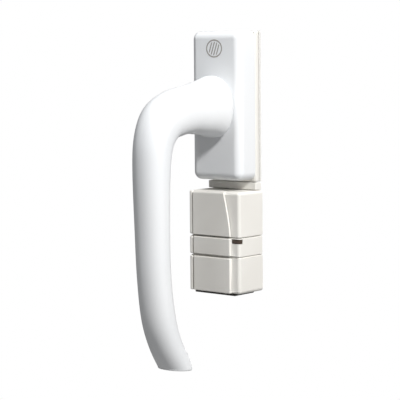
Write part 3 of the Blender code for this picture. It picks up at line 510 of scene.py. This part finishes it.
def lever_section(half_width, half_depth):
    """Points round the lever: nearly an ellipse outside, flatter on the window's side."""
    points = []
    for line in range(LINES_ALONG):
        angle = 2 * math.pi * line / LINES_ALONG
        across, out = math.cos(angle), math.sin(angle)
        power = 2 / (OUTER_ROUNDNESS if out >= 0 else INNER_ROUNDNESS)
        points.append((
            half_width * math.copysign(abs(across) ** power, across),
            half_depth * math.copysign(abs(out) ** power, out),
        ))
    return points


def lever_rings():
    reach = LEVER_REACH + NECK_BACK
    places = []
    for out, down, wide, deep in curve_through(LEVER_STATIONS, STEPS_BETWEEN):
        half_width = GRIP_WIDTH / 2 + (NECK_WIDTH - GRIP_WIDTH) / 2 * wide
        half_depth = GRIP_DEPTH / 2 + (NECK_HEIGHT - GRIP_DEPTH) / 2 * deep
        places.append((Vector((0, NECK_BACK - reach * out, -LEVER_LENGTH * down)), half_width, half_depth))
    rings = []
    for index, (centre, half_width, half_depth) in enumerate(places):
        along = places[min(index + 1, len(places) - 1)][0] - places[max(index - 1, 0)][0]
        along = along.normalized() if index else Vector((0, -1, 0))
        outward = Vector((0, along.z, -along.y))
        rings.append([
            centre + Vector((across, 0, 0)) + outward * out
            for across, out in lever_section(half_width, half_depth)
        ])
    return rings


def trimmed_tip(rings):
    """Ends the lever at a nearly level plane, with a short upright face at its back."""
    reach = LEVER_REACH + NECK_BACK
    tip_y = NECK_BACK - reach * LEVER_STATIONS[-2][0]
    limit = tip_y + TIP_BACK
    slope = math.radians(TIP_SLOPE)
    down = Vector((0, -math.sin(slope), -math.cos(slope)))
    low_point = Vector((0, tip_y, -LEVER_LENGTH))

    def held_back(point):
        """Near the tip, a point that would pass the limit is bent back to it."""
        over = (point.y - limit) / TIP_SOFTNESS
        if point.z > -LEVER_LENGTH + TIP_ZONE or over < TIP_BEND_START:
            return point
        soft = limit + TIP_SOFTNESS * (over - math.log1p(math.exp(over)))
        return Vector((point.x, min(soft, point.y), point.z))

    rings = [[held_back(point) for point in ring] for ring in rings]
    plane = low_point - down * TIP_EDGE
    whole = max(
        index for index, ring in enumerate(rings)
        if all((point - plane).dot(down) < -TIP_MARGIN for point in ring)
    )
    kept = rings[:whole]
    ends = []
    for line in range(LINES_ALONG):
        path = [ring[line] for ring in rings[whole:]]
        cut = [path[0]]
        for near, far in zip(path, path[1:]):
            before, after = (near - plane).dot(down), (far - plane).dot(down)
            if before <= 0 < after:
                cut.append(near.lerp(far, before / (before - after)))
                break
            cut.append(far)
        lengths = [0.0]
        for near, far in zip(cut, cut[1:]):
            lengths.append(lengths[-1] + (far - near).length)
        even = []
        for row in range(TIP_ROWS + 1):
            wanted = lengths[-1] * row / TIP_ROWS
            step = max(index for index, length in enumerate(lengths[:-1]) if length <= wanted + ROUNDING)
            share = (wanted - lengths[step]) / max(lengths[step + 1] - lengths[step], LEAST_LENGTH)
            even.append(cut[step].lerp(cut[step + 1], share))
        ends.append(even)
    kept += [[ends[line][row] for line in range(LINES_ALONG)] for row in range(TIP_ROWS + 1)]
    rim = kept[-1]
    centre = sum(rim, Vector()) / len(rim)
    for step in range(1, TIP_EDGE_STEPS + 1):
        turn = math.pi / 2 * step / TIP_EDGE_STEPS
        ring = []
        for point in rim:
            inward = centre - point
            inward -= down * inward.dot(down)
            ring.append(point + inward.normalized() * TIP_EDGE * (1 - math.cos(turn))
                        + down * TIP_EDGE * math.sin(turn))
        kept.append(ring)
    face = kept[-1]
    for share in TIP_FACE_RINGS:
        middle = sum(face, Vector()) / len(face)
        kept.append([point.lerp(middle, share) for point in face])
    return kept


def shaft_rings():
    """The journal and the square socket, from the neck's back face inwards."""
    rings = []
    for radius, y in (
        (JOURNAL_RADIUS + JOURNAL_ROOT_EDGE, NECK_BACK), (JOURNAL_RADIUS, NECK_BACK + JOURNAL_ROOT_LENGTH),
        (JOURNAL_RADIUS, JOURNAL_END - JOURNAL_END_EDGE), (JOURNAL_RADIUS - JOURNAL_END_EDGE, JOURNAL_END),
    ):
        rings.append([
            Vector((radius * math.cos(2 * math.pi * line / LINES_ALONG), y,
                    radius * math.sin(2 * math.pi * line / LINES_ALONG)))
            for line in range(LINES_ALONG)
        ])
    for y in (JOURNAL_END, SOCKET_FLOOR):
        square = []
        for line in range(LINES_ALONG):
            angle = 2 * math.pi * line / LINES_ALONG
            across, up = math.cos(angle), math.sin(angle)
            reach = SOCKET_HALF / max(abs(across), abs(up))
            square.append(Vector((across * reach, y, up * reach)))
        rings.append(square)
    return rings


def lofted(rings):
    """One closed skin through rings that have the same number of points."""
    shape = bmesh.new()
    rows = [[shape.verts.new(point) for point in ring] for ring in rings]
    for near, far in zip(rows, rows[1:]):
        for line in range(len(near)):
            following = (line + 1) % len(near)
            shape.faces.new((near[line], near[following], far[following], far[line]))
    shape.faces.new(rows[0])
    shape.faces.new(rows[-1])
    bmesh.ops.recalc_face_normals(shape, faces=shape.faces)
    return shape


lever = piece_from("lever_casting", lofted(shaft_rings()[::-1] + trimmed_tip(lever_rings())), coat)
settle(lever, sharp=LEVER_SHARP)
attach(lever, "handle")
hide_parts("handle_lever")

# Electronics inside the module: green boards with black parts, a lamp, a coin cell in its black
# holder with gold-plated contacts, and the magnet in the rotor that the sensor board reads.


def solder_mask():
    board, shader, place = start_finish("solder_mask")
    tracks = place.stretched(1.0, 0.0, 1.0).cells(520.0, "DISTANCE_TO_EDGE")
    copper = 1.0 - tracks.smooth(0.05, 0.09)
    weave = place.cloud(2600.0, 1.0)
    set_shader(shader, place, {
        "Base Color": copper.blend(shade(0.012, 0.095, 0.035), shade(0.03, 0.20, 0.07)),
        "Roughness": 0.30 + 0.15 * weave,
        "Coat Weight": 0.4 + 0.2 * copper,
        "Normal": (copper + 0.2 * weave).raised(0.00003, 0.6),
    })
    return board


def black_resin():
    resin, shader, place = start_finish("black_resin")
    grain = place.cloud(2400.0, 3.0, 0.6)
    set_shader(shader, place, {
        "Base Color": grain.smooth(0.3, 0.7).blend(shade(0.018, 0.018, 0.019), shade(0.04, 0.04, 0.041)),
        "Roughness": 0.46 + 0.16 * grain,
        "Normal": grain.raised(0.00001, 0.6),
    })
    return resin


def gold_plate():
    gold, shader, place = start_finish("gold_plate")
    rolled = place.stretched(1.0, 1.0, 0.08).cloud(1300.0, 2.0)
    set_shader(shader, place, {
        "Base Color": rolled.smooth(0.3, 0.7).blend(shade(0.70, 0.52, 0.24), shade(0.80, 0.63, 0.33)),
        "Metallic": 1.0,
        "Roughness": 0.22 + 0.14 * rolled,
        "Normal": rolled.raised(0.000006, 0.5),
    })
    return gold


def nickel_plate():
    nickel, shader, place = start_finish("nickel_plate")
    wear = place.cloud(600.0, 3.0)
    set_shader(shader, place, {
        "Base Color": wear.smooth(0.35, 0.7).blend(shade(0.52, 0.50, 0.46), shade(0.60, 0.58, 0.55)),
        "Metallic": 1.0,
        "Roughness": 0.16 + 0.16 * wear,
    })
    return nickel


def lamp_resin():
    lamp, shader, place = start_finish("lamp_resin")
    haze = place.cloud(1500.0, 2.0)
    set_shader(shader, place, {
        "Base Color": haze.smooth(0.3, 0.7).blend(shade(0.80, 0.78, 0.66), shade(0.88, 0.87, 0.80)),
        "Roughness": 0.14 + 0.12 * haze,
        "Transmission Weight": 0.3,
    })
    return lamp


resin = black_resin()
gold = gold_plate()
finish_nodes(solder_mask(), "circuit_board", "sensor_board")
finish_nodes(
    resin, "radio_module", "battery_holder", "hall_sensor_top", "hall_sensor_middle", "hall_sensor_bottom",
)
finish_nodes(gold, "contact_negative", "contact_positive")
finish_nodes(nickel_plate(), "rotor_magnet")
finish_nodes(lamp_resin(), "status_lamp")

# Module segments: three cream plastic shells, open at the back, one below the other with narrow
# grooves between them. A shallow panel stands on their fronts, its right side sweeping in at the
# top, and a narrow rail runs along its left side.
SEGMENT_EDGE = 1.6 * MM
SEGMENT_EDGE_STEPS = 8
SEGMENT_WALL = 1.5 * MM
SEGMENT_RIM = 0.4 * MM
SEGMENT_RIM_STEPS = 3
PANEL_LEFT = 12.3 * MM
PANEL_RIGHT = 10.45 * MM
PANEL_RISE = 1.5 * MM
PANEL_SWEEP = 3.9 * MM
PANEL_SWEEP_POWER = 1.4
PANEL_INSET = 0.2 * MM
PANEL_EDGE = 0.5 * MM
PANEL_EDGE_STEPS = 3
PANEL_CORNER = math.radians(40)
PANEL_TOP_EDGE = 1.2 * MM
PANEL_TOP_EDGE_STEPS = 8
SWEEP_STEPS = 24
RAIL_RISE = 1.2 * MM
RAIL_OUTER_X = 14.8 * MM
RAIL_INNER_X = 13.0 * MM
RAIL_EDGE = 0.6 * MM
RAIL_EDGE_STEPS = 5
NOTCH_LEFT = 10.5 * MM
NOTCH_GAP = 0.2 * MM
NOTCH_RETURN = 2.25 * MM
LIP_DEPTH = 0.6 * MM
LIP_WALL = 0.7 * MM
LIP_REACH = 0.4 * MM
LIP_ROOT = 3 * LIP_REACH
NEAR = 0.01 * MM


def panel_shape(low, high, front, sweep):
    """A slab with the panel's outline, sunk half a wall deep into the segment."""
    steps = SWEEP_STEPS if sweep else 1
    outline = [(-PANEL_LEFT, high), (-PANEL_LEFT, low)] + [
        (PANEL_RIGHT - sweep * (step / steps) ** PANEL_SWEEP_POWER, low + (high - low) * step / steps)
        for step in range(steps + 1)
    ]
    shape = bmesh.new()
    face = shape.faces.new([shape.verts.new((x, front - PANEL_RISE, z)) for x, z in outline])
    raised = bmesh.ops.extrude_face_region(shape, geom=[face])
    moved = [item for item in raised["geom"] if isinstance(item, bmesh.types.BMVert)]
    bmesh.ops.translate(shape, verts=moved, vec=(0.0, PANEL_RISE + SEGMENT_WALL / 2, 0.0))
    bmesh.ops.recalc_face_normals(shape, faces=shape.faces)
    if sweep:
        top_edges = [
            line for line in shape.edges
            if all(vert.co.z > high - NEAR and vert.co.y < front for vert in line.verts)
        ]
        bmesh.ops.bevel(
            shape, geom=top_edges, offset=PANEL_TOP_EDGE, segments=PANEL_TOP_EDGE_STEPS, profile=0.5,
            affect="EDGES",
        )
    return shape


def lip_shape(low, high, front, edge_z, side):
    """A thin wall inside a segment's edge that reaches into the groove towards its neighbour."""
    inner_z = edge_z - side * LIP_ROOT
    ends = sorted((inner_z, edge_z + side * LIP_REACH))
    return rounded_box(
        (low.x + LIP_DEPTH, front + LIP_DEPTH, ends[0]),
        (high.x - LIP_DEPTH, high.y, ends[1]),
        SEGMENT_EDGE - LIP_DEPTH, SEGMENT_EDGE_STEPS, [(0, 1, 0), (0, 0, 1), (0, 0, -1)],
    )


def segment(name, node, open_to, sweep=0.0, notch=None, lip=0):
    """One shell with its panel and rail, its window's notch, and a lip above (1) or below (-1)."""
    low, high = (Vector(corner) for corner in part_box(node))
    front = low.y + PANEL_RISE
    body = rounded_box((low.x, front, low.z), high, SEGMENT_EDGE, SEGMENT_EDGE_STEPS, open_to)
    piece = piece_from(name, body, cream)
    modify(piece, "SOLIDIFY", thickness=SEGMENT_WALL, offset=-1.0, use_even_offset=True)
    modify(
        piece, "BEVEL", width=SEGMENT_RIM, segments=SEGMENT_RIM_STEPS, limit_method="ANGLE",
        angle_limit=CORNER,
    )
    settle(piece)
    foot, top = low.z + PANEL_INSET, high.z - PANEL_INSET
    panel = piece_from(name + "_panel", panel_shape(foot, top, front, sweep))
    modify(
        panel, "BEVEL", width=PANEL_EDGE, segments=PANEL_EDGE_STEPS, limit_method="ANGLE",
        angle_limit=PANEL_CORNER,
    )
    settle(panel)
    rail = piece_from(name + "_rail", rounded_box(
        (-RAIL_OUTER_X, front - RAIL_RISE, foot), (-RAIL_INNER_X, front + SEGMENT_WALL / 2, top),
        RAIL_EDGE, RAIL_EDGE_STEPS, [],
    ))
    modify(piece, "BOOLEAN", operation="UNION", object=panel, solver="EXACT")
    modify(piece, "BOOLEAN", operation="UNION", object=rail, solver="EXACT")
    tools = [panel, rail]
    if lip:
        edge_z = high.z if lip > 0 else low.z
        tools.append(piece_from(name + "_lip", lip_shape(low, high, front, edge_z, lip)))
        modify(tools[-1], "SOLIDIFY", thickness=LIP_WALL, offset=-1.0, use_even_offset=True)
        settle(tools[-1])
        modify(piece, "BOOLEAN", operation="UNION", object=tools[-1], solver="EXACT")
    if notch:
        tools.append(piece_from("window_notch", box_shape(*notch)))
        modify(piece, "BOOLEAN", operation="DIFFERENCE", object=tools[-1], solver="MANIFOLD")
    settle(piece, *tools)
    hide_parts(node)
    return piece


window_low, window_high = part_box("status_window")
block_low, block_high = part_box("middle_band")
window_notch = (
    (NOTCH_LEFT, block_low.y - CUT_PAST, window_low.z - NOTCH_GAP),
    (block_high.x + CUT_PAST, window_low.y + NOTCH_RETURN, window_high.z + NOTCH_GAP),
)
upper = segment("upper_segment", "upper_cover", [(0, 1, 0), (0, 0, -1)], PANEL_SWEEP, lip=-1)
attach(upper, "base")
middle = segment("middle_segment", "middle_band", [(0, 1, 0), (0, 0, 1), (0, 0, -1)], notch=window_notch)
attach(middle, "base")
lower = segment("lower_segment", "battery_cover", [(0, 1, 0), (0, 0, 1)], lip=1)
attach(lower, "battery_cover")

# Status window and bottom plate: the window is smoked polycarbonate that wraps the corner in front
# of the lamp, and the bottom plate is black plastic clipped under the lower segment. Its black is
# partly painted shadow: it also stands in for the shade along the module's bottom edge.


def smoked_polycarbonate():
    smoked, shader, place = start_finish("smoked_polycarbonate")
    haze = place.cloud(700.0, 2.0)
    set_shader(shader, place, {
        "Base Color": haze.smooth(0.3, 0.7).blend(shade(0.070, 0.050, 0.038), shade(0.105, 0.078, 0.060)),
        "Roughness": 0.16 + 0.08 * haze,
        "Coat Weight": 0.3,
    })
    return smoked


def black_plastic_and_painted_shadow():
    plastic, shader, place = start_finish("black_plastic_and_painted_shadow")
    grain = place.cloud(2300.0, 2.0)
    set_shader(shader, place, {
        # Partly painted shadow: this near-black also stands in for the shade along the module's bottom edge.
        "Base Color": grain.smooth(0.3, 0.7).blend(shade(0.040, 0.037, 0.034), shade(0.062, 0.058, 0.052)),
        "Roughness": 0.48 + 0.12 * grain,
        "Normal": grain.raised(0.000014, 0.6),
    })
    return plastic


finish_nodes(smoked_polycarbonate(), "status_window")
finish_nodes(black_plastic_and_painted_shadow(), "bottom_plate")

# Stage: a white floor well below the handle and a white surround that gives little light itself.
# Softboxes stand high on the right, above the front and overhead, and one behind lights the back.
FLOOR_DROP = 1.2
FLOOR_HALF = 6.0
FLOOR_SQUARES = 8
WHITE_SEEN = 1.0
SURROUND_LIGHT = 0.2
LIGHT_AIM = (0.0, -0.02, -0.02)
KEY_TRAVEL = (-1.0, 0.35, -0.75)
KEY_DISTANCE = 0.9
KEY_SIZE = 0.12
KEY_POWER = 9.0
KEY_TINT = (1.0, 0.995, 0.985)
TOP_TRAVEL = (0.0, 0.55, -1.0)
TOP_DISTANCE = 0.9
TOP_SIZE = 0.2
TOP_POWER = 1.5
TOP_TINT = (0.93, 0.97, 1.0)
CROWN_TRAVEL = (-0.05, 0.05, -1.0)
CROWN_DISTANCE = 0.9
CROWN_SIZE = 0.3
CROWN_POWER = 2.3
CROWN_TINT = (1.0, 1.0, 1.0)
BACK_TRAVEL = (0.3, -1.0, -0.25)
BACK_DISTANCE = 1.1
BACK_SIZE = 0.6
BACK_POWER = 4.0
BACK_TINT = (1.0, 1.0, 1.0)


def seen_white(tree, other):
    """White to the lens, and the other shader for every other ray."""
    start = Finish(tree)
    kind = "ShaderNodeBackground" if other is None else "ShaderNodeEmission"
    white = start.node(kind, None, {"Color": shade(1, 1, 1), "Strength": WHITE_SEEN})
    if other is None:
        other = start.node(kind, None, {"Color": shade(1, 1, 1), "Strength": SURROUND_LIGHT})
    return start.node("ShaderNodeMixShader", None, {0: start.node("ShaderNodeLightPath"), 1: other, 2: white})


def pale_floor():
    paint, shader, place = start_finish("pale_floor")
    mottle = place.cloud(3.0, 2.0)
    set_shader(shader, place, {
        "Base Color": mottle.smooth(0.2, 0.8).blend(shade(0.93, 0.93, 0.93), shade(0.95, 0.95, 0.95)),
        "Roughness": 0.8,
    })
    tree = paint.node_tree
    both = seen_white(tree, Finish(tree, shader.outputs["BSDF"]))
    tree.links.new(both.socket, tree.nodes["Material Output"].inputs["Surface"])
    return paint


def softbox(name, travel, distance, size, power, tint):
    """A square lamp whose light travels in the given direction onto the handle."""
    lamp = bpy.data.lights.new(name, "AREA")
    lamp.shape = "SQUARE"
    lamp.size = size
    lamp.energy = power
    lamp.color = tint
    placed = bpy.data.objects.new(name, lamp)
    travel = Vector(travel).normalized()
    placed.location = Vector(LIGHT_AIM) - travel * distance
    placed.rotation_euler = travel.to_track_quat("-Z", "Y").to_euler()
    bpy.context.scene.collection.objects.link(placed)


def white_surround():
    world = bpy.data.worlds.new("white_surround")
    world.use_nodes = True
    tree = world.node_tree
    tree.nodes.clear()
    end = tree.nodes.new("ShaderNodeOutputWorld")
    tree.links.new(seen_white(tree, None).socket, end.inputs["Surface"])
    return world


floor_shape = bmesh.new()
bmesh.ops.create_grid(floor_shape, x_segments=FLOOR_SQUARES, y_segments=FLOOR_SQUARES, size=FLOOR_HALF)
floor = piece_from("floor", floor_shape, pale_floor())
floor.location.z = -LEVER_LENGTH - FLOOR_DROP
softbox("key_softbox", KEY_TRAVEL, KEY_DISTANCE, KEY_SIZE, KEY_POWER, KEY_TINT)
softbox("top_softbox", TOP_TRAVEL, TOP_DISTANCE, TOP_SIZE, TOP_POWER, TOP_TINT)
softbox("crown_softbox", CROWN_TRAVEL, CROWN_DISTANCE, CROWN_SIZE, CROWN_POWER, CROWN_TINT)
softbox("back_softbox", BACK_TRAVEL, BACK_DISTANCE, BACK_SIZE, BACK_POWER, BACK_TINT)
bpy.context.scene.world = white_surround()
bpy.context.scene.view_settings.view_transform = "Standard"

# Camera: to the right of the handle and a little above it, turned and tipped to look back at it
# through a long lens, with everything in focus.
CAMERA_PLACE = (0.46668, -0.57619, 0.02066)
CAMERA_TURN = math.radians(40.42)
CAMERA_DIP = math.radians(5.14)
CAMERA_ROLL = math.radians(-0.47)
CAMERA_LENS = 137.58
SENSOR_WIDTH = 36.0
CLIP_NEAR = 0.01
CLIP_FAR = 50.0
camera_data = bpy.data.cameras.new("camera")
camera_data.lens = CAMERA_LENS
camera_data.sensor_width = SENSOR_WIDTH
camera_data.clip_start = CLIP_NEAR
camera_data.clip_end = CLIP_FAR
camera_data.dof.use_dof = False
camera = bpy.data.objects.new("camera", camera_data)
bpy.context.scene.collection.objects.link(camera)
forward = Vector((
    -math.sin(CAMERA_TURN) * math.cos(CAMERA_DIP), math.cos(CAMERA_TURN) * math.cos(CAMERA_DIP),
    -math.sin(CAMERA_DIP),
))
level = Vector((math.cos(CAMERA_TURN), math.sin(CAMERA_TURN), 0.0))
upright = level.cross(forward)
right = math.cos(CAMERA_ROLL) * level + math.sin(CAMERA_ROLL) * upright
up = math.cos(CAMERA_ROLL) * upright - math.sin(CAMERA_ROLL) * level
turned = Matrix((right, up, -forward)).transposed()
camera.matrix_world = Matrix.Translation(CAMERA_PLACE) @ turned.to_4x4()
bpy.context.scene.camera = camera
